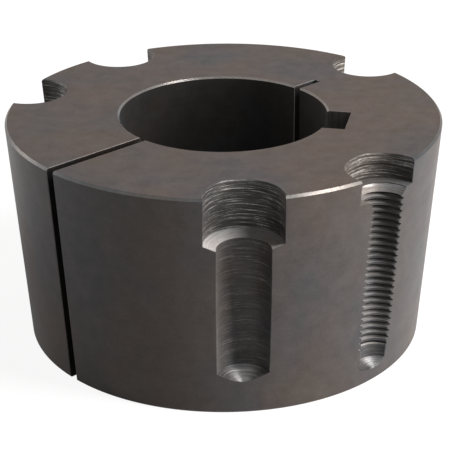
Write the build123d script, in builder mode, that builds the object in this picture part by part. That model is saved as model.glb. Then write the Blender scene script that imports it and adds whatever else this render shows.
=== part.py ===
from build123d import *
from math import radians, sqrt, tan
import os

os.makedirs("parts", exist_ok=True)

# Body, small end down
large_dia = 146.05
length = 76.2
taper_angle = 4.0
rim_chamfer = 0.8
tail_chamfer = 0.4

# Bore and keyway, key_angle counted from the split
bore_dia = 69.85
bore_chamfer = 0.6
key_width = 15.875
key_depth = 8.1
key_angle = 125.5

# Split through one side and relief slot opposite it
split_angle = 225.0
split_width = 3.0
relief_width = 2.4
relief_depth = 10.0

# Half-holes in the taper, sunk from the large end
hole_circle_inset = 2.8
counterbore_dia = 25.0
drill_point = 135.0

# Plain half-holes for the clamping screws, angles counted from the split
clamp_angles = (52.3, 179.5, 299.5)
clamp_seat_depth = 16.0
clamp_drill_dia = 17.0
clamp_floor = 14.4

# Tapped half-holes for the release screws, at tap drill size
jack_angles = (92.5, 260.2)
jack_seat_depth = 8.4
jack_pilot_dia = 17.6
jack_pilot_depth = 0.35
jack_lead_angle = 90.0
tap_drill_dia = 13.5
jack_floor = 6.5

# Sizes that follow from these
taper_slope = tan(radians(taper_angle))
large_radius = large_dia / 2
small_radius = large_radius - length * taper_slope
bore_radius = bore_dia / 2
key_reach = sqrt(bore_radius**2 - (key_width / 2) ** 2) + key_depth
relief_reach = bore_radius + relief_depth
hole_circle_radius = large_radius - hole_circle_inset
counterbore_radius = counterbore_dia / 2
point_slope = 1 / tan(radians(drill_point / 2))
overrun = 2.0

# Plain half-hole: head seat, clearance drill and drill point, large-end face at Z0
clamp_radius = clamp_drill_dia / 2
clamp_seat_end = clamp_seat_depth + (counterbore_radius - clamp_radius) * point_slope
clamp_drill_end = length - clamp_floor
clamp_point_end = clamp_drill_end + clamp_radius * point_slope
with BuildPart() as clamp_hole:
    with BuildSketch(Plane.XZ):
        with BuildLine():
            Polyline(
                (0, overrun),
                (counterbore_radius, overrun),
                (counterbore_radius, -clamp_seat_depth),
                (clamp_radius, -clamp_seat_end),
                (clamp_radius, -clamp_drill_end),
                (0, -clamp_point_end),
                close=True,
            )
        make_face()
    revolve(axis=Axis.Z)

# Tapped half-hole: flat seat, pilot, countersunk lead, tap drill and drill point
jack_pilot_radius = jack_pilot_dia / 2
tap_radius = tap_drill_dia / 2
jack_pilot_end = jack_seat_depth + jack_pilot_depth
jack_lead_slope = 1 / tan(radians(jack_lead_angle / 2))
jack_lead_end = jack_pilot_end + (jack_pilot_radius - tap_radius) * jack_lead_slope
jack_drill_end = length - jack_floor
jack_point_end = jack_drill_end + tap_radius * point_slope
with BuildPart() as jack_hole:
    with BuildSketch(Plane.XZ):
        with BuildLine():
            Polyline(
                (0, overrun),
                (counterbore_radius, overrun),
                (counterbore_radius, -jack_seat_depth),
                (jack_pilot_radius, -jack_seat_depth),
                (jack_pilot_radius, -jack_pilot_end),
                (tap_radius, -jack_lead_end),
                (tap_radius, -jack_drill_end),
                (0, -jack_point_end),
                close=True,
            )
        make_face()
    revolve(axis=Axis.Z)

with BuildPart() as taper_bush:
    # Turned and bored cone
    with BuildSketch(Plane.XZ):
        with BuildLine():
            Polyline(
                (bore_radius, 0),
                (small_radius, 0),
                (large_radius, length),
                (bore_radius, length),
                close=True,
            )
        make_face()
    revolve(axis=Axis.Z)

    # Edge breaks of both ends
    small_bore_edge, tail_edge = taper_bush.faces().sort_by(Axis.Z)[0].edges().sort_by(SortBy.RADIUS)
    large_bore_edge, rim_edge = taper_bush.faces().sort_by(Axis.Z)[-1].edges().sort_by(SortBy.RADIUS)
    chamfer([small_bore_edge, large_bore_edge], bore_chamfer)
    chamfer(rim_edge, rim_chamfer)
    chamfer(tail_edge, tail_chamfer)

    # Half-holes, drilled from the large end on one circle
    with Locations((0, 0, length)):
        for angle in clamp_angles:
            with PolarLocations(hole_circle_radius, 1, start_angle=split_angle + angle):
                add(clamp_hole.part, mode=Mode.SUBTRACT)
        for angle in jack_angles:
            with PolarLocations(hole_circle_radius, 1, start_angle=split_angle + angle):
                add(jack_hole.part, mode=Mode.SUBTRACT)

    # Broached keyway
    with BuildSketch(Plane.XY.rotated((0, 0, split_angle + key_angle))):
        Rectangle(key_reach, key_width, align=(Align.MIN, Align.CENTER))
    extrude(amount=length, mode=Mode.SUBTRACT)

    # Relief slot that lets the bush flex
    with BuildSketch(Plane.XY.rotated((0, 0, split_angle + 180))):
        Rectangle(relief_reach, relief_width, align=(Align.MIN, Align.CENTER))
    extrude(amount=length, mode=Mode.SUBTRACT)

    # Sawn split, last so the ring stays whole for the other cuts
    with BuildSketch(Plane.XY.rotated((0, 0, split_angle))):
        Rectangle(large_dia, split_width, align=(Align.MIN, Align.CENTER))
    extrude(amount=length, mode=Mode.SUBTRACT)

taper_bush.part.label = "taper_bush"
export_step(taper_bush.part, "parts/taper_bush.step")
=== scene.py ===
from math import acos, cos, pi, radians, sin, sqrt, tan

import bmesh
import bpy
import numpy as np
from mathutils import Matrix, Vector


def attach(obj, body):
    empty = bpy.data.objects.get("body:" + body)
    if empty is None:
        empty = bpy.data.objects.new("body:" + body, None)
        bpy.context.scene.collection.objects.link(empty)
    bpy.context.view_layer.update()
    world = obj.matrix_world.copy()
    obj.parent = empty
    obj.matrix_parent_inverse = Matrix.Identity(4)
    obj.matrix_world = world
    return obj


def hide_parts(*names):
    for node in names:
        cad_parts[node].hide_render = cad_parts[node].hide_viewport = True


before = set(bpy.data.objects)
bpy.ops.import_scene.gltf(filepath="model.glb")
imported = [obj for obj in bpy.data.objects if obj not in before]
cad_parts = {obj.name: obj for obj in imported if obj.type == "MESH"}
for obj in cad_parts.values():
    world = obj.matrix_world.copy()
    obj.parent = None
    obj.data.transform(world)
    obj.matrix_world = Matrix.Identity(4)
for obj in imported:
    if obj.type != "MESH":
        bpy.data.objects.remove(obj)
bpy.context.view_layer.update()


# Sizes of the bush in metres, small end on the floor
MM = 0.001
LARGE_R = 73.025 * MM
LENGTH = 76.2 * MM
TAPER = radians(4.0)
RIM_CHAMFER = 0.8 * MM
TAIL_CHAMFER = 0.4 * MM
BORE_R = 34.925 * MM
BORE_CHAMFER = 0.6 * MM
KEY_WIDTH = 15.875 * MM
KEY_DEPTH = 8.1 * MM
SPLIT_WIDTH = 3.0 * MM
RELIEF_WIDTH = 2.4 * MM
RELIEF_DEPTH = 10.0 * MM
SPLIT_AT = radians(225.0)
KEY_AT = SPLIT_AT + radians(125.5)
RELIEF_AT = SPLIT_AT + pi

# Half-holes in the tapered side, angles counted from the split
HOLE_CIRCLE_R = LARGE_R - 2.8 * MM
SEAT_R = 12.5 * MM
POINT_HALF_ANGLE = radians(67.5)
POINT_SLOPE = 1 / tan(POINT_HALF_ANGLE)
CLAMP_AT = [SPLIT_AT + radians(a) for a in (52.3, 179.5, 299.5)]
CLAMP_SEAT_DEPTH = 16.0 * MM
CLAMP_R = 8.5 * MM
CLAMP_FLOOR = 14.4 * MM
JACK_AT = [SPLIT_AT + radians(a) for a in (92.5, 260.2)]
JACK_SEAT_DEPTH = 8.4 * MM
JACK_PILOT_R = 8.8 * MM
JACK_PILOT_DEPTH = 0.35 * MM
JACK_LEAD_HALF_ANGLE = radians(45.0)
JACK_LEAD_SLOPE = 1 / tan(JACK_LEAD_HALF_ANGLE)
JACK_LEAD_R = 8.2 * MM
TAP_R = 6.75 * MM
JACK_FLOOR = 6.5 * MM

# Thread of the release screws, 11 turns an inch; flat and phase are shares of a turn
PITCH = 25.4 / 11 * MM
THREAD_R = 7.94 * MM
THREAD_CORE_R = 6.6 * MM
THREAD_HALF_ANGLE = radians(30.0)
THREAD_FLAT = 1 / 16
THREAD_PHASE = 0.433
THREAD_TOP = LENGTH - 6.0 * MM
THREAD_END = LENGTH - 66.25 * MM
THREAD_RUN_OUT = 2 * PITCH

# Broken edges, and how finely the forms are divided
EDGE_BREAK = 0.2 * MM
MOUTH_BREAK = 0.12 * MM
OVERRUN = 2.0 * MM
BODY_SEGMENTS = 192
SIDE_ROWS = 24
HOLE_SEGMENTS = 96
THREAD_SEGMENTS = 72
EDGE_STEP_UP = 6.0 * MM
EDGE_STEP_OUT = 0.5 * MM
CROSSING_MARGIN = 1.02
WELD_DISTANCE = 1e-8
SLIVER = 1e-9

# One finish, and so one material, for each kind of surface
FINISHES = [
    "taper", "faced", "bored", "broken_edge", "bore_edge", "rubbed", "sunk",
    "stepped", "drilled", "coned", "tapped", "groove", "sawn", "broached",
]
finish_materials = {name: bpy.data.materials.new("bush_" + name) for name in FINISHES}


def at(radius, angle):
    """Point in plan at a radius and an angle."""
    return Vector((radius * cos(angle), radius * sin(angle)))


def taper_radius(z):
    """Radius of the tapered side at a height."""
    return LARGE_R - (LENGTH - z) * tan(TAPER)


def new_object(name, verts, faces, slots=None, finish=None):
    """Closed mesh object with outward normals; slots gives a finish per face."""
    mesh = bpy.data.meshes.new(name)
    mesh.from_pydata(verts, [], faces)
    used = [finish] if finish else sorted(set(slots), key=FINISHES.index)
    for f in used:
        mesh.materials.append(finish_materials[f])
    if not finish:
        mesh.polygons.foreach_set("material_index", [used.index(s) for s in slots])
    bm = bmesh.new()
    bm.from_mesh(mesh)
    bmesh.ops.remove_doubles(bm, verts=bm.verts, dist=WELD_DISTANCE)
    bmesh.ops.dissolve_degenerate(bm, edges=bm.edges, dist=SLIVER)
    bmesh.ops.recalc_face_normals(bm, faces=bm.faces)
    bm.to_mesh(mesh)
    bm.free()
    obj = bpy.data.objects.new(name, mesh)
    bpy.context.scene.collection.objects.link(obj)
    return obj


def lathe(name, profile, segments, finishes, centre=(0.0, 0.0), loop=False):
    """Turns a profile of (radius, z) about the upright axis at centre; one finish per span."""
    verts, rings = [], []
    for r, z in profile:
        count = segments if r > 0 else 1
        rings.append(range(len(verts), len(verts) + count))
        turns = [2 * pi * k / segments for k in range(count)]
        verts += [(centre[0] + r * cos(a), centre[1] + r * sin(a), z) for a in turns]
    spans = list(zip(rings, rings[1:] + rings[:1] if loop else rings[1:]))
    faces, slots = [], []
    for (low, high), finish in zip(spans, finishes):
        for k in range(segments):
            n = (k + 1) % segments
            lower = [low[k % len(low)], low[n % len(low)]]
            upper = [high[n % len(high)], high[k % len(high)]]
            faces.append(list(dict.fromkeys(lower + upper)))
            slots.append(finish)
    return new_object(name, verts, faces, slots)


def bar(name, angle, width, reach, finish):
    """Bar from the bush axis outwards, through both ends, that breaks the slot's mouths too."""
    out, side = at(1, angle), at(1, angle + pi / 2)
    wide = width / 2 + MOUTH_BREAK + OVERRUN
    half = [
        (wide, -OVERRUN),
        (width / 2, MOUTH_BREAK),
        (width / 2, LENGTH - MOUTH_BREAK),
        (wide, LENGTH + OVERRUN),
    ]
    section = half + [(-across, z) for across, z in reversed(half)]
    verts = [(*(out * far + side * across), z) for far in (0, reach) for across, z in section]
    n = len(section)
    faces = [(k, (k + 1) % n, (k + 1) % n + n, k + n) for k in range(n)]
    faces += [tuple(range(n)), tuple(range(n, 2 * n))]
    finishes = ["rubbed", finish, "rubbed", finish] * 2
    return new_object(name, verts, faces, finishes + [finish] * 2)


def edge_bar(name, rows, finish="broken_edge"):
    """Three-sided bar along an edge; a row is its point and the directions along both faces."""
    verts = []
    for place, one, other in rows:
        verts += [place + one * EDGE_BREAK, place + other * EDGE_BREAK]
        verts += [place - (one + other) * EDGE_BREAK]
    faces = [(0, 1, 2), tuple(len(verts) - k for k in (1, 2, 3))]
    for row in range(0, len(verts) - 3, 3):
        for k in range(3):
            a, b = row + k, row + (k + 1) % 3
            faces += [(a, b, b + 3), (a, b + 3, a + 3)]
    return new_object(name, [tuple(v) for v in verts], faces, finish=finish)


def hole_edges(name, angle, profile):
    """Edge bars where a half-hole's wall of (radius, z) runs out through the taper."""
    centre = at(HOLE_CIRCLE_R, angle)
    heights = []
    for (r0, z0), (r1, z1) in zip(profile, profile[1:]):
        steps = max(2, int(abs(z1 - z0) / EDGE_STEP_UP), int(abs(r1 - r0) / EDGE_STEP_OUT))
        heights += [
            (r0 + (r1 - r0) * k / steps, z0 + (z1 - z0) * k / steps) for k in range(steps)
        ]
    heights.append(profile[-1])
    bars = []
    for hand in (-1, 1):
        rows = []
        for r, z in heights:
            rim = taper_radius(z)
            # Low down the axis lies outside the taper, and a narrow drill point misses it
            if r < (HOLE_CIRCLE_R - rim) * CROSSING_MARGIN:
                continue
            spread = acos((rim**2 + HOLE_CIRCLE_R**2 - r**2) / (2 * rim * HOLE_CIRCLE_R))
            place = at(rim, angle + hand * spread)
            away = at(1, angle + hand * (spread + pi / 2))
            across = (place - centre).normalized()
            inward = Vector((-across.y, across.x))
            if inward.dot(place) > 0:
                inward = -inward
            rows.append((place.to_3d() + Vector((0, 0, z)), away.to_3d(), inward.to_3d()))
        bars.append(edge_bar(f"{name}_{hand}", rows))
    return bars


def slot_edges(name, angle, width, radius_at, outward, finish):
    """Edge bars where the sides of a radial slot meet the bore or the taper."""
    out, side = at(1, angle), at(1, angle + pi / 2)
    bars = []
    for hand in (-1, 1):
        rows = []
        for z in (-OVERRUN, LENGTH + OVERRUN):
            r = radius_at(z)
            place = out * sqrt(r**2 - (width / 2) ** 2) + side * hand * width / 2
            along = Vector((-place.y, place.x)).normalized() * hand
            corner = place.to_3d() + Vector((0, 0, z))
            rows.append((corner, along.to_3d(), (out * outward).to_3d()))
        bars.append(edge_bar(f"{name}_{hand}", rows, finish))
    return bars


def tap(name, centre, z_low, z_high):
    """Right-hand screw thread as a closed solid that fades out at both ends."""
    flank = (THREAD_R - THREAD_CORE_R) * tan(THREAD_HALF_ANGLE) / PITCH
    form = [
        (0.0, THREAD_R),
        (THREAD_FLAT, THREAD_R),
        (THREAD_FLAT + flank, THREAD_CORE_R),
        (1 - THREAD_FLAT - flank, THREAD_CORE_R),
        (1 - THREAD_FLAT, THREAD_R),
    ]
    # The root and the down-facing flank of each turn take a finish darkened as painted shade in
    # the thread's recesses; crests and up-facing flanks take the lighter tapped finish
    finishes = ["groove", "groove", "tapped", "tapped", "groove"]
    turns = int((z_high - z_low) / PITCH) + 3
    rows = [(t + p, r) for t in range(-2, turns) for p, r in form]
    verts = []
    for height, radius in rows:
        for k in range(THREAD_SEGMENTS):
            z = z_low + (height + THREAD_PHASE + k / THREAD_SEGMENTS) * PITCH
            fade = min((z - z_low) / THREAD_RUN_OUT, (z_high - z) / PITCH, 1.0)
            r = THREAD_CORE_R + (radius - THREAD_CORE_R) * max(fade, 0.0)
            a = 2 * pi * k / THREAD_SEGMENTS
            level = min(max(z, z_low), z_high)
            verts.append((centre[0] + r * cos(a), centre[1] + r * sin(a), level))
    faces, slots = [], []
    for i in range(len(rows) - 1):
        for k in range(THREAD_SEGMENTS):
            wraps = k + 1 == THREAD_SEGMENTS
            n, j = (0, i + len(form)) if wraps else (k + 1, i)
            if j + 1 < len(rows):
                a, b = i * THREAD_SEGMENTS + k, j * THREAD_SEGMENTS + n
                c, d = (j + 1) * THREAD_SEGMENTS + n, (i + 1) * THREAD_SEGMENTS + k
                faces += [(a, b, c), (a, c, d)]
                slots += [finishes[i % len(form)]] * 2
    for z in (z_low, z_high):
        base = len(verts)
        verts.append((centre[0], centre[1], z))
        for k in range(THREAD_SEGMENTS):
            a = 2 * pi * k / THREAD_SEGMENTS
            x, y = centre[0] + THREAD_CORE_R * cos(a), centre[1] + THREAD_CORE_R * sin(a)
            verts.append((x, y, z))
            faces.append((base, base + 1 + k, base + 1 + (k + 1) % THREAD_SEGMENTS))
            slots.append("tapped")
    return new_object(name, verts, faces, slots)


def apply_modifiers(obj):
    """Turns what the modifiers show into the object's own mesh."""
    graph = bpy.context.evaluated_depsgraph_get()
    made = bpy.data.meshes.new_from_object(obj.evaluated_get(graph))
    obj.modifiers.clear()
    old, obj.data = obj.data, made
    bpy.data.meshes.remove(old)


def cut(body, cutter):
    """Takes the cutter out of the body, with the cutter's finish on the new faces."""
    m = body.modifiers.new("cut", "BOOLEAN")
    m.operation, m.object, m.solver = "DIFFERENCE", cutter, "MANIFOLD"
    m.material_mode = "TRANSFER"
    apply_modifiers(body)
    gone = cutter.data
    bpy.data.objects.remove(cutter)
    bpy.data.meshes.remove(gone)


# Turned and bored cone
taper_low, taper_high = TAIL_CHAMFER * cos(TAPER), LENGTH - RIM_CHAMFER * cos(TAPER)
taper_rows = [
    taper_low + (taper_high - taper_low) * k / SIDE_ROWS for k in range(SIDE_ROWS + 1)
]
small_end_finishes = ["faced", "broken_edge"]
large_end_finishes = ["broken_edge", "faced", "bore_edge", "bored", "bore_edge"]
body = lathe(
    "taper_bush_dressed",
    [
        (BORE_R + BORE_CHAMFER, 0),
        (taper_radius(0) - TAIL_CHAMFER, 0),
        *[(taper_radius(z), z) for z in taper_rows],
        (LARGE_R - RIM_CHAMFER, LENGTH),
        (BORE_R + BORE_CHAMFER, LENGTH),
        (BORE_R, LENGTH - BORE_CHAMFER),
        (BORE_R, BORE_CHAMFER),
    ],
    BODY_SEGMENTS,
    small_end_finishes + ["taper"] * SIDE_ROWS + large_end_finishes,
    loop=True,
)

# Half-holes, drilled from the large end with their mouths broken
mouth = [
    (0, LENGTH + OVERRUN),
    (SEAT_R + MOUTH_BREAK + OVERRUN, LENGTH + OVERRUN),
    (SEAT_R, LENGTH - MOUTH_BREAK),
]
mouth_finishes = ["faced", "broken_edge", "sunk"]

clamp_seat_end = LENGTH - CLAMP_SEAT_DEPTH
clamp_wall = [
    (SEAT_R, clamp_seat_end),
    (CLAMP_R, clamp_seat_end - (SEAT_R - CLAMP_R) * POINT_SLOPE),
    (CLAMP_R, CLAMP_FLOOR),
    (0, CLAMP_FLOOR - CLAMP_R * POINT_SLOPE),
]
clamp_finishes = mouth_finishes + ["stepped", "drilled", "coned"]
for k, angle in enumerate(CLAMP_AT):
    centre = at(HOLE_CIRCLE_R, angle)
    cut(body, lathe(f"clamp_{k}", mouth + clamp_wall, HOLE_SEGMENTS, clamp_finishes, centre))
    for edge in hole_edges(f"clamp_edge_{k}", angle, [(SEAT_R, LENGTH)] + clamp_wall):
        cut(body, edge)

jack_seat_end = LENGTH - JACK_SEAT_DEPTH
jack_pilot_end = jack_seat_end - JACK_PILOT_DEPTH
jack_seat = [(SEAT_R, jack_seat_end)]
jack_wall = [
    (JACK_PILOT_R, jack_seat_end),
    (JACK_PILOT_R, jack_pilot_end),
    (JACK_LEAD_R, jack_pilot_end - (JACK_PILOT_R - JACK_LEAD_R) * JACK_LEAD_SLOPE),
    (TAP_R, jack_pilot_end - (JACK_PILOT_R - TAP_R) * JACK_LEAD_SLOPE),
    (TAP_R, JACK_FLOOR),
    (0, JACK_FLOOR - TAP_R * POINT_SLOPE),
]
jack_finishes = mouth_finishes + ["rubbed", "drilled", "coned", "tapped", "drilled", "coned"]
for k, angle in enumerate(JACK_AT):
    centre = at(HOLE_CIRCLE_R, angle)
    profile = mouth + jack_seat + jack_wall
    cut(body, lathe(f"jack_{k}", profile, HOLE_SEGMENTS, jack_finishes, centre))
    edges = hole_edges(f"jack_seat_edge_{k}", angle, [(SEAT_R, LENGTH)] + jack_seat)
    for edge in edges + hole_edges(f"jack_edge_{k}", angle, jack_wall):
        cut(body, edge)

# Keyway, relief slot and split, then the threads
key_reach = sqrt(BORE_R**2 - (KEY_WIDTH / 2) ** 2) + KEY_DEPTH
slots = [
    ("key", KEY_AT, KEY_WIDTH, key_reach, "broached", "broached"),
    ("relief", RELIEF_AT, RELIEF_WIDTH, BORE_R + RELIEF_DEPTH, "broached", "rubbed"),
    # The split's sawn walls get a finish darkened near black as painted shade in the narrow slot
    ("split", SPLIT_AT, SPLIT_WIDTH, LARGE_R * 2, "sawn", "rubbed"),
]
for name, angle, width, reach, finish, edge_finish in slots:
    cut(body, bar(name, angle, width, reach, finish))
    for edge in slot_edges(f"{name}_bore_edge", angle, width, lambda z: BORE_R, 1, edge_finish):
        cut(body, edge)
for edge in slot_edges("split_taper_edge", SPLIT_AT, SPLIT_WIDTH, taper_radius, -1, "faced"):
    cut(body, edge)
for k, angle in enumerate(JACK_AT):
    cut(body, tap(f"tap_{k}", at(HOLE_CIRCLE_R, angle), THREAD_END, THREAD_TOP))


def drop_doubled_faces(obj):
    """Removes the flat pairs of faces that cuts can leave back to back on the same corners."""
    bm = bmesh.new()
    bm.from_mesh(obj.data)
    first, doubled = {}, []
    for face in bm.faces:
        twin = first.setdefault(frozenset(v.index for v in face.verts), face)
        if twin is not face:
            doubled += [twin, face]
    bmesh.ops.delete(bm, geom=doubled, context="FACES")
    bm.to_mesh(obj.data)
    bm.free()


# What counts as the chamfer of a rim: its distance from the rim and the slope of its normal
RIM_REACH = 1.2 * MM
RIM_SLOPE_LOW, RIM_SLOPE_HIGH = 0.5, 0.9
RADIAL = 0.999
LEVEL = 0.999
AXIS_REACH = 0.05 * MM
TINY = 1e-12


def on_rim(normal, centre):
    """True for the faces of the chamfers round both ends and both ends of the bore."""
    radius = np.hypot(centre[:, 0], centre[:, 1])
    outward = centre[:, :2] / np.maximum(np.linalg.norm(centre[:, :2], axis=1), TINY)[:, None]
    in_plan = np.linalg.norm(normal[:, :2], axis=1)
    radial = np.abs((normal[:, :2] * outward).sum(1)) > RADIAL * in_plan
    slope = np.abs(normal[:, 2])
    sloped = (slope > RIM_SLOPE_LOW) & (slope < RIM_SLOPE_HIGH)
    near = np.zeros(len(centre), bool)
    for r, z in ((LARGE_R, LENGTH), (BORE_R, LENGTH), (BORE_R, 0.0), (taper_radius(0.0), 0.0)):
        near |= (np.abs(radius - r) < RIM_REACH) & (np.abs(centre[:, 2] - z) < RIM_REACH)
    return near & radial & sloped


def smooth_normals(obj):
    """True normals of turned and drilled surfaces, per face corner, so no facets show."""
    mesh = obj.data
    count, corners = len(mesh.polygons), len(mesh.loops)
    normal, centre = np.zeros((count, 3)), np.zeros((count, 3))
    slot, start = np.zeros(count, int), np.zeros(count, int)
    mesh.polygons.foreach_get("normal", normal.ravel())
    mesh.polygons.foreach_get("center", centre.ravel())
    mesh.polygons.foreach_get("material_index", slot)
    mesh.polygons.foreach_get("loop_start", start)
    point = np.zeros((len(mesh.vertices), 3))
    mesh.vertices.foreach_get("co", point.ravel())
    vertex = np.zeros(corners, int)
    mesh.loops.foreach_get("vertex_index", vertex)
    face = np.zeros(corners, int)
    face[start] = 1
    face = np.cumsum(face) - 1

    # Which faces are round, and about which axis: the bush's own, or the nearest hole's
    kind = np.array([m.name.replace("bush_", "") for m in mesh.materials])[slot]
    turned = np.isin(kind, ["taper", "bored"])
    drilled = np.isin(kind, ["sunk", "stepped", "drilled", "coned", "tapped", "groove"])
    edge = np.isin(kind, ["broken_edge", "bore_edge"]) & on_rim(normal, centre)
    rounded = turned | drilled | edge
    axes = np.array([[0, 0]] + [list(at(HOLE_CIRCLE_R, a)) for a in CLAMP_AT + JACK_AT])
    away = np.linalg.norm(centre[:, None, :2] - axes[None], axis=2)
    about = axes[np.where(drilled, 1 + np.argmin(away[:, 1:], axis=1), 0)]

    # Direction in plan, away from the axis or towards it
    to_point = point[vertex, :2] - about[face]
    to_centre = centre[:, :2] - about
    far_enough = np.linalg.norm(to_point, axis=1) > AXIS_REACH
    outward = np.where(far_enough[:, None], to_point, to_centre[face])
    outward /= np.maximum(np.linalg.norm(outward, axis=1), TINY)[:, None]
    facing = np.sign((normal[:, :2] * to_centre).sum(1))
    side = np.where(drilled | (kind == "bored"), -1.0, facing)[face]

    # Slope of the true surface in place of the facet's
    steady = normal[:, 2].copy()
    steady[kind == "taper"] = -sin(TAPER)
    steady[kind == "bored"] = 0.0
    slopes = np.array([0.0, sin(POINT_HALF_ANGLE), sin(JACK_LEAD_HALF_ANGLE), 1.0])
    nearest = slopes[np.argmin(np.abs(steady[:, None] - slopes), axis=1)]
    steady = np.where(np.isin(kind, ["sunk", "stepped", "drilled", "coned"]), nearest, steady)
    level = steady[face]
    flat = np.sqrt(np.maximum(1 - level**2, 0)) * side
    round_normal = np.column_stack([outward * flat[:, None], level])
    uses_it = rounded[face] & (np.abs(level) < LEVEL)
    custom = np.where(uses_it[:, None], round_normal, normal[face])
    mesh.polygons.foreach_set("use_smooth", np.ones(count, bool))
    mesh.normals_split_custom_set(custom.tolist())


drop_doubled_faces(body)
smooth_normals(body)
body.data.name = body.name
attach(body, "root")
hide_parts("taper_bush")


class Tree:
    """Short way to add and join shader nodes."""

    def __init__(self, block):
        block.use_nodes = True
        self.nodes, self.links = block.node_tree.nodes, block.node_tree.links
        self.nodes.clear()

    def add(self, kind, operation=None, **inputs):
        node = self.nodes.new("ShaderNode" + kind)
        if operation:
            node.operation = operation
        for key, value in inputs.items():
            self.set(node, int(key[1:]) if key[0] == "_" else key.replace("_", " "), value)
        return node

    def set(self, node, key, value):
        if isinstance(value, bpy.types.NodeSocket):
            self.links.new(value, node.inputs[key])
        else:
            node.inputs[key].default_value = value

    def math(self, operation, a, b=0.0, clamp=False):
        node = self.add("Math", operation, _0=a, _1=b)
        node.use_clamp = clamp
        return node.outputs[0]

    def stretch(self, vector, x, y, z):
        return self.add("VectorMath", "MULTIPLY", _0=vector, _1=(x, y, z)).outputs[0]

    def noise(self, vector, scale, detail=3.0, roughness=0.55):
        settings = {"Vector": vector, "Scale": scale, "Detail": detail, "Roughness": roughness}
        return self.add("TexNoise", **settings).outputs["Fac"]

    def spread(self, value, low, high, to_low=0.0, to_high=1.0):
        ends = {"From_Min": low, "From_Max": high, "To_Min": to_low, "To_Max": to_high}
        return self.add("MapRange", Value=value, **ends).outputs[0]

    def blend(self, amount, a, b, kind="MIX"):
        node = self.nodes.new("ShaderNodeMix")
        node.data_type, node.blend_type = "RGBA", kind
        for key, value in ((0, amount), (6, a), (7, b)):
            self.set(node, key, value)
        return node.outputs[2]


def plain(rgb):
    """sRGB 0 to 255 as linear colour."""
    linear = (c / 255 / 12.92 if c <= 10.31 else ((c / 255 + 0.055) / 1.055) ** 2.4 for c in rgb)
    return tuple(linear) + (1.0,)


# Oxide colours, sRGB, and the bare iron that shows through where it is worn
BROWN, SLATE, OLIVE = (73, 64, 59), (61, 61, 64), (68, 65, 60)
PALE, BARE = (91, 86, 83), (196, 193, 189)

# Noise scales per millimetre: oxide tones, patches, clouds, wear and the grain of the iron
TONE_SCALE, PATCH_SCALE, CLOUD_SCALE, WEAR_SCALE, GRAIN_SCALE = 0.028, 0.045, 0.17, 0.55, 2.6
OLIVE_SHARE, CLOUD_SHARE = 0.45, 0.45
GRAIN_TONE = 0.13
LINE_ROUGHNESS, PATCH_ROUGHNESS = 0.06, 0.03
WORN_RAMP = 0.06

# How much tool lines are drawn out along each lay, and how they crowd up a hole
ROUND_STRETCH, UPRIGHT_STRETCH, MIXED_STRETCH, HOLE_STRETCH = 0.012, 0.015, 0.5, 0.03
CROWDING = {"hole": 1.0, "cone": 2.4}
WANDER, WANDER_SCALE = 0.25, 0.06


def lay_of(t, lay, place):
    """Coordinates in which noise turns into tool lines along one lay, in millimetres."""
    if lay == "round":
        return t.stretch(place, ROUND_STRETCH, ROUND_STRETCH, 1.0)
    if lay == "upright":
        return t.stretch(place, 1.0, 1.0, UPRIGHT_STRETCH)
    if lay == "mixed":
        return t.stretch(place, MIXED_STRETCH, MIXED_STRETCH, MIXED_STRETCH)
    x, y, z = t.add("SeparateXYZ", _0=place).outputs[:3]
    if lay == "level":
        drawn_out = ROUND_STRETCH
        z = t.add("VectorMath", "LENGTH", _0=t.stretch(place, 1, 1, 0)).outputs["Value"]
    else:
        drawn_out = HOLE_STRETCH
        wander = t.spread(t.noise(place, WANDER_SCALE, 2.0), 0.3, 0.7, -WANDER, WANDER)
        z = t.math("MULTIPLY", t.math("ADD", z, wander), CROWDING[lay])
    x, y = t.math("MULTIPLY", x, drawn_out), t.math("MULTIPLY", y, drawn_out)
    return t.add("CombineXYZ", _0=x, _1=y, _2=z).outputs[0]


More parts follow.
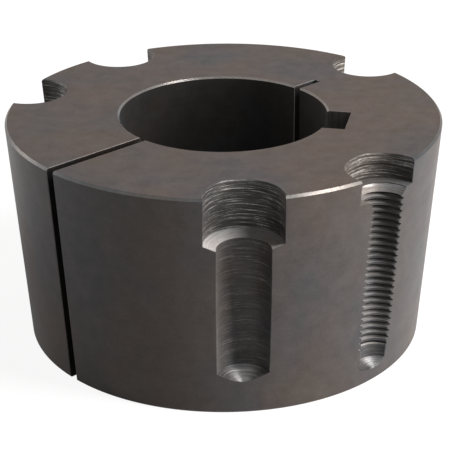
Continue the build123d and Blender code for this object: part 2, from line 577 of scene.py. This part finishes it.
def bush_finish(
    name,
    lay,
    line_scale,
    line_tone,
    line_bump,
    rough,
    metal,
    shade,
    tint=(1.0, 1.0, 1.0),
    sheen=0.1,
    drawn=0.0,
    bare=0.0,
    bare_from=0.55,
    bare_metal=0.95,
    grit=0.012,
):
    """Oxidised iron: patchy colour, grain, tool lines along one lay, bare metal where worn."""
    t = Tree(finish_materials[name])
    place = t.stretch(t.add("TexCoord").outputs["Object"], 1 / MM, 1 / MM, 1 / MM)

    # Oxide in two tones, with olive patches and pale clouds
    flattened = t.stretch(place, 1, 1, 0.7)
    tone_patch = t.spread(t.noise(flattened, TONE_SCALE, 3.0), 0.4, 0.62)
    patch = t.spread(t.noise(place, PATCH_SCALE, 5.0, 0.6), 0.36, 0.64)
    cloud = t.spread(t.noise(place, CLOUD_SCALE, 4.0, 0.65), 0.3, 0.75, 0.0, CLOUD_SHARE)
    colour = t.blend(tone_patch, plain(BROWN), plain(SLATE))
    colour = t.blend(t.math("MULTIPLY", patch, OLIVE_SHARE), colour, plain(OLIVE))
    colour = t.blend(cloud, colour, plain(PALE))

    # Grain and tool lines lighten and darken it
    grain = t.noise(place, GRAIN_SCALE, 2.0, 0.6)
    lines = t.noise(lay_of(t, lay, place), line_scale, 5.0, 0.75)
    grain_tone = t.spread(grain, 0.3, 0.7, -GRAIN_TONE, GRAIN_TONE)
    tone = t.math("ADD", grain_tone, t.spread(lines, 0.3, 0.7, -line_tone, line_tone))
    tone = t.math("MULTIPLY", t.math("ADD", tone, 1.0), shade)
    red, green, blue = [t.math("MULTIPLY", tone, c) for c in tint]
    tinted = t.add("CombineColor", _0=red, _1=green, _2=blue).outputs[0]
    colour = t.blend(1.0, colour, tinted, "MULTIPLY")
    rough_lines = t.spread(lines, 0.3, 0.7, rough - LINE_ROUGHNESS, rough + LINE_ROUGHNESS)
    rough_patch = t.spread(patch, 0, 1, -PATCH_ROUGHNESS, PATCH_ROUGHNESS)
    roughness = t.math("ADD", rough_lines, rough_patch)

    # Bare iron on the crests of the lines
    metallic = metal
    if bare:
        worn = t.spread(lines, bare_from, bare_from + WORN_RAMP)
        wear = t.spread(t.noise(place, WEAR_SCALE, 4.0, 0.7), 0.36, 0.62, 0.15, 1.0)
        worn = t.math("MULTIPLY", t.math("MULTIPLY", worn, wear), bare, clamp=True)
        colour = t.blend(worn, colour, plain(BARE))
        metallic = t.spread(worn, 0.0, 1.0, metal, bare_metal)

    line_height = t.math("MULTIPLY", lines, line_bump)
    height = t.math("ADD", line_height, t.math("MULTIPLY", grain, grit))
    bump = t.add("Bump", Height=height, Distance=MM, Strength=1.0)
    shader = t.add(
        "BsdfPrincipled",
        Base_Color=colour,
        Roughness=roughness,
        Metallic=metallic,
        Specular_IOR_Level=sheen,
        Normal=bump.outputs[0],
        Anisotropic=drawn,
        Anisotropic_Rotation=0.25,
    )
    if drawn:
        normal = t.add("NewGeometry").outputs["Normal"]
        around = t.add("VectorMath", "CROSS_PRODUCT", _0=normal, _1=(0, 0, 1)).outputs[0]
        t.set(shader, "Tangent", around)
    t.add("OutputMaterial", Surface=shader.outputs[0])


# Tints: the cool grey of worn iron, of fresh cuts in the holes, and of polished edges
COOL, CUT_TINT, EDGE_TINT = (0.94, 1.0, 1.04), (0.97, 1.0, 0.99), (0.91, 0.99, 1.03)

# Each finish: its lay, then the scale, tone and height of its tool lines
bush_finish("taper", "round", 2.2, 0.06, 0.010, rough=0.44, metal=0.0, shade=1.17,
            tint=(1.0, 1.0, 1.02), sheen=0.24)
bush_finish("faced", "level", 2.2, 0.05, 0.008, rough=0.5, metal=0.0, shade=1.86,
            tint=(1.03, 1.0, 0.995), sheen=0.05)
bush_finish("bored", "round", 1.6, 0.12, 0.012, rough=1.0, metal=1.0, shade=0.76,
            tint=(0.9, 1.0, 1.06))
bush_finish("broken_edge", "mixed", 3.0, 0.06, 0.002, rough=0.34, metal=0.85, shade=1.9,
            tint=EDGE_TINT, grit=0.003)
bush_finish("bore_edge", "mixed", 3.0, 0.06, 0.002, rough=0.24, metal=0.85, shade=3.6,
            tint=EDGE_TINT, grit=0.002)
bush_finish("rubbed", "mixed", 3.0, 0.12, 0.010, rough=0.7, metal=1.0, shade=3.6, tint=COOL)
bush_finish("sunk", "hole", 2.2, 0.9, 0.25, rough=0.34, metal=0.15, shade=1.45,
            tint=CUT_TINT, drawn=0.75, bare=1.0, bare_from=0.54, bare_metal=0.3)
bush_finish("stepped", "cone", 2.0, 0.3, 0.03, rough=0.42, metal=0.0, shade=7.8,
            tint=COOL, sheen=0.02, drawn=0.6, bare=0.5, bare_from=0.52, bare_metal=0.05)
bush_finish("drilled", "hole", 3.0, 0.35, 0.05, rough=0.44, metal=0.15, shade=1.6,
            tint=COOL, sheen=0.04, drawn=0.7, bare=0.35, bare_from=0.56, bare_metal=0.3)
bush_finish("coned", "cone", 2.0, 0.5, 0.03, rough=0.46, metal=0.8, shade=4.6,
            tint=COOL, drawn=0.8, bare=0.7, bare_from=0.53)
bush_finish("tapped", "hole", 5.0, 0.3, 0.03, rough=0.36, metal=0.05, shade=4.5,
            tint=CUT_TINT, sheen=0.03, drawn=0.5, bare=0.5, bare_from=0.54, bare_metal=0.1)
# Root and down-facing flank of the thread: painted shade, far darker than the tapped crests of
# the same cut
bush_finish("groove", "hole", 5.0, 0.3, 0.03, rough=0.6, metal=0.0, shade=0.35,
            tint=(0.97, 1.0, 1.0))
# Walls of the split: darkened near black as painted shade in the narrow slot
bush_finish("sawn", "upright", 1.2, 0.3, 0.03, rough=0.5, metal=0.0, shade=0.25)
bush_finish("broached", "upright", 1.2, 0.4, 0.03, rough=0.7, metal=1.0, shade=1.2,
            tint=COOL, bare=0.3, bare_from=0.6)

# Camera as fitted to the photograph: degrees, and its place in radii of the large end
SENSOR_WIDTH, FOCAL_LENGTH = 36.0, 129.6
CAMERA_TURN, CAMERA_PITCH, CAMERA_YAW, CAMERA_ROLL = 2.5, 24.813, 0.03, -0.386
CAMERA_PLACE = Vector((0, -6.9748, 3.6957))
camera = bpy.data.objects.new("camera", bpy.data.cameras.new("camera"))
bpy.context.scene.collection.objects.link(camera)
bpy.context.scene.camera = camera
camera.data.sensor_width = SENSOR_WIDTH
camera.data.lens = FOCAL_LENGTH
camera.data.clip_start = 0.01
camera.data.clip_end = 20.0
pitch, yaw, roll = radians(CAMERA_PITCH), radians(CAMERA_YAW), radians(CAMERA_ROLL)
turn = Matrix.Rotation(radians(CAMERA_TURN), 3, "Z")
forward = turn @ Vector((sin(yaw) * cos(pitch), cos(yaw) * cos(pitch), -sin(pitch)))
right = turn @ Vector((cos(yaw), -sin(yaw), 0))
up = right.cross(forward)
level_right = cos(roll) * right + sin(roll) * up
level_up = -sin(roll) * right + cos(roll) * up
pose = Matrix((level_right, level_up, -forward)).transposed().to_4x4()
pose.translation = turn @ CAMERA_PLACE * LARGE_R
camera.matrix_world = pose

# Floor: a plain tone for bounced light, and near white to the camera and in reflections
FLOOR_REACH = 6
FLOOR_TONE, FLOOR_SHADE, FLOOR_WHITE = 0.6, 0.2, 0.9
# In reflections alone the glow falls off near the bush's left foot: a painted shadow in place
# of the bush's shadow, which a glowing floor hardly holds
CONTACT_AT = (-0.07, 0.0, 0.0)
CONTACT_WHITE, CONTACT_NEAR, CONTACT_FAR = 0.25, 0.05, 0.15
AMBIENT = 0.075


def seen_rays(t):
    """Light Path node, and 1 on camera, glossy and transmission rays."""
    path = t.add("LightPath")
    seen = t.math("ADD", path.outputs["Is Camera Ray"], path.outputs["Is Glossy Ray"], clamp=True)
    return path, t.math("ADD", seen, path.outputs["Is Transmission Ray"], clamp=True)


def grey(tone):
    return (tone, tone, tone, 1)


floor_mesh = bpy.data.meshes.new("floor")
floor_signs = ((-1, -1), (1, -1), (1, 1), (-1, 1))
floor_corners = [(x * FLOOR_REACH, y * FLOOR_REACH, 0) for x, y in floor_signs]
floor_mesh.from_pydata(floor_corners, [], [(0, 1, 2, 3)])
floor = bpy.data.objects.new("floor", floor_mesh)
bpy.context.scene.collection.objects.link(floor)
paint = bpy.data.materials.new("floor")
floor_mesh.materials.append(paint)
t = Tree(paint)
path, seen = seen_rays(t)
place = t.add("TexCoord").outputs["Object"]
reach = t.add("VectorMath", "DISTANCE", _0=place, _1=CONTACT_AT).outputs["Value"]
contact = t.spread(reach, CONTACT_NEAR, CONTACT_FAR, CONTACT_WHITE, FLOOR_WHITE)
strength = t.spread(path.outputs["Is Glossy Ray"], 0.0, 1.0, FLOOR_WHITE, contact)
glow = t.add("Emission", Strength=strength).outputs[0]
diffuse = t.add("BsdfDiffuse", Color=grey(FLOOR_TONE)).outputs[0]
shade = t.add("BsdfDiffuse", Color=grey(FLOOR_SHADE)).outputs[0]
white = t.add("AddShader", _0=shade, _1=glow).outputs[0]
t.add("OutputMaterial", Surface=t.add("MixShader", _0=seen, _1=diffuse, _2=white).outputs[0])

world = bpy.data.worlds.new("world")
bpy.context.scene.world = world
t = Tree(world)
_, seen = seen_rays(t)
strength = t.spread(seen, 0.0, 1.0, AMBIENT, 1.0)
t.add("OutputWorld", Surface=t.add("Background", Strength=strength).outputs[0])

# Lamps
LAMP_DISTANCE = 1.7
WARM, NEUTRAL = (1.0, 0.94, 0.9), (1.0, 1.0, 1.0)


def softbox(name, bearing, height, size, watts, colour=WARM):
    """Square lamp aimed at the bush; bearing counts in degrees from the camera to its right."""
    lamp = bpy.data.lights.new(name, "AREA")
    lamp.shape, lamp.size, lamp.energy, lamp.color = "SQUARE", size, watts, colour
    obj = bpy.data.objects.new(name, lamp)
    bpy.context.scene.collection.objects.link(obj)
    turn, rise = radians(bearing - (90 - CAMERA_TURN)), radians(height)
    aim = Vector((0, 0, LENGTH / 2))
    away = Vector((cos(turn) * cos(rise), sin(turn) * cos(rise), sin(rise)))
    obj.location = aim + LAMP_DISTANCE * away
    obj.rotation_mode = "QUATERNION"
    obj.rotation_quaternion = (aim - obj.location).to_track_quat("-Z", "Y")


softbox("side", 74, 12, 0.8, 35.0)
softbox("key", 67, 49, 0.5, 16.0, NEUTRAL)
softbox("rear", 150, 45, 0.5, 3.0)
softbox("left", -114, 12, 0.8, 9.5)

bpy.context.scene.view_settings.view_transform = "Standard"
